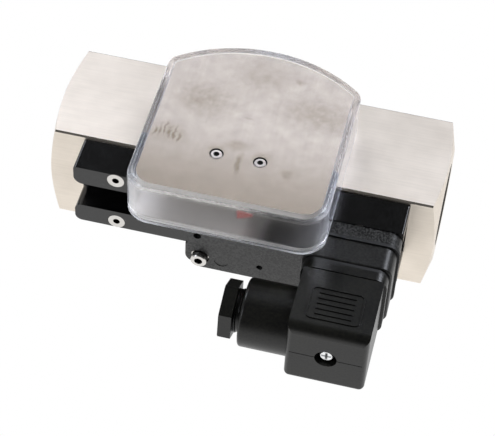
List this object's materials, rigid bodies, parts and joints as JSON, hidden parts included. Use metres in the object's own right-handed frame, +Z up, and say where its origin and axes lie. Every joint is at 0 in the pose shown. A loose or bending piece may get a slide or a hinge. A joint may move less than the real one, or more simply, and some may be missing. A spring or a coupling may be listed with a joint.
{
  "type": "variable area flow meter",
  "caption": "In-line variable area flow meter: square bar body with end ports, clear-covered dial with a magnetic pointer, and a limit contact with plug connector that slides on a front rail.",
  "frame": {"origin": "middle of the body's flat bottom face", "axes": "+X along the pipe from inlet to outlet, +Y to the back, away from the connector, +Z up to the dial"},
  "size_m": [0.133, 0.0975, 0.0567],
  "materials": {
    "body_metal": "satin",
    "insert_metal": "turned",
    "spring_steel": "drawn",
    "float_metal": "turned",
    "magnet": "matte",
    "seal_rubber": "matte",
    "base_metal": "satin",
    "clear_cover": "clear",
    "plate_metal": "satin",
    "brass_turned": "turned",
    "screw_steel": "bright",
    "lever_metal": "satin",
    "pointer_red": "matte",
    "rail_black": "satin",
    "housing_black": "matte",
    "reed_glass": "clear",
    "connector_black": "satin",
    "terminal_plastic": "matte",
    "pin_metal": "tinned"
  },
  "bodies": {
    "housing": {"meter_body": "body_metal", "measuring_sleeve": "insert_metal", "sleeve_seal": "seal_rubber", "inlet_guide": "insert_metal", "outlet_guide": "insert_metal", "retaining_rings": "insert_metal", "guide_rod": "insert_metal", "return_spring": "spring_steel", "display_base": "base_metal", "base_screws": "screw_steel", "cover_seal": "seal_rubber", "display_cover": "clear_cover", "dial_plate": "plate_metal", "plate_pillars": "brass_turned", "plate_screws": "screw_steel", "axle_bearings": "brass_turned", "contact_rail": "rail_black", "rail_screws": "screw_steel"},
    "float": {"float_piston": "float_metal", "float_magnet": "magnet", "float_clip": "float_metal"},
    "pointer": {"pointer_axle": "screw_steel", "pointer_hub": "brass_turned", "pointer_lever": "lever_metal", "follower_magnet": "magnet", "pointer_tip": "pointer_red", "pointer_weight": "brass_turned"},
    "contact": {"contact_housing": "housing_black", "clamp_screw": "screw_steel", "clamp_washer": "screw_steel", "clamp_insert": "brass_turned", "reed_switch": "reed_glass", "base_pad": "seal_rubber", "connector_socket": "connector_black", "contact_pins": "pin_metal", "plug_seal": "seal_rubber", "plug_housing": "connector_black", "plug_terminal": "terminal_plastic", "terminal_screws": "screw_steel", "plug_screw": "screw_steel", "gland_nut": "connector_black", "gland_washer": "screw_steel", "gland_seal": "seal_rubber"}
  },
  "joints": [
    {"name": "float_slide", "type": "slide", "parent": "housing", "child": "float", "axis": [1, 0, 0], "range_m": [0, 0.025], "stiffness_N_per_m": 80, "springref_m": -0.0125, "deforming": ["return_spring"]},
    {"name": "pointer_turn", "type": "hinge", "parent": "housing", "child": "pointer", "pos_m": [0.0006, -0.0296, 0.047], "axis": [0, 0, -1], "range_deg": [0, 45.8]},
    {"name": "contact_slide", "type": "slide", "parent": "housing", "child": "contact", "axis": [1, 0, 0], "range_m": [-0.025, 0]}
  ],
  "couplings": [
    {"joint": "pointer_turn", "follows": "float_slide", "rad_per_m": 31.96}
  ]
}
